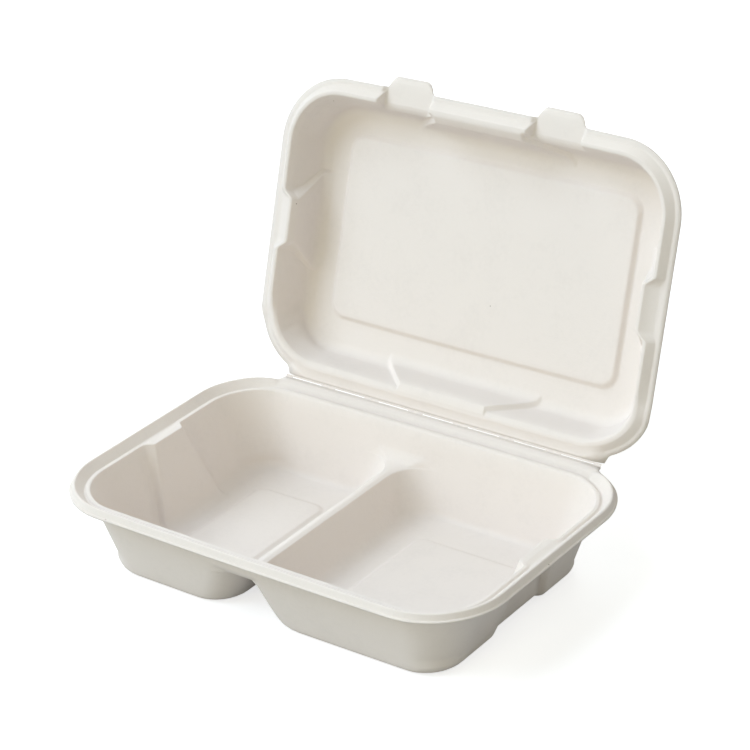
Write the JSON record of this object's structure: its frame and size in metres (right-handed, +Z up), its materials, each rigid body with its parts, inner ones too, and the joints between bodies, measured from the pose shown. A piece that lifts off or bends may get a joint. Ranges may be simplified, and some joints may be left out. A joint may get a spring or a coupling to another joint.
{
  "type": "hinged meal box",
  "caption": "Shallow hinged meal box of moulded plant fibre, open, with a divided tray and a lid with locking tabs that folds over it.",
  "frame": {"origin": "middle of the open box's footprint, on the table that the tray stands on", "axes": "+X from the small compartment to the large one, +Y from the tray's front to its hinge, +Z up"},
  "size_m": [0.23, 0.2098, 0.1866],
  "materials": {
    "fibre": "matte, slightly mottled moulded plant fibre"
  },
  "bodies": {
    "tray": {"tray": "fibre"},
    "lid": {"lid": "fibre"}
  },
  "joints": [
    {"name": "lid_fold", "type": "hinge", "parent": "tray", "child": "lid", "pos_m": [0, 0.04861, 0.04065], "axis": [1, 0, 0], "range_deg": [-72.5, 107.5]}
  ]
}
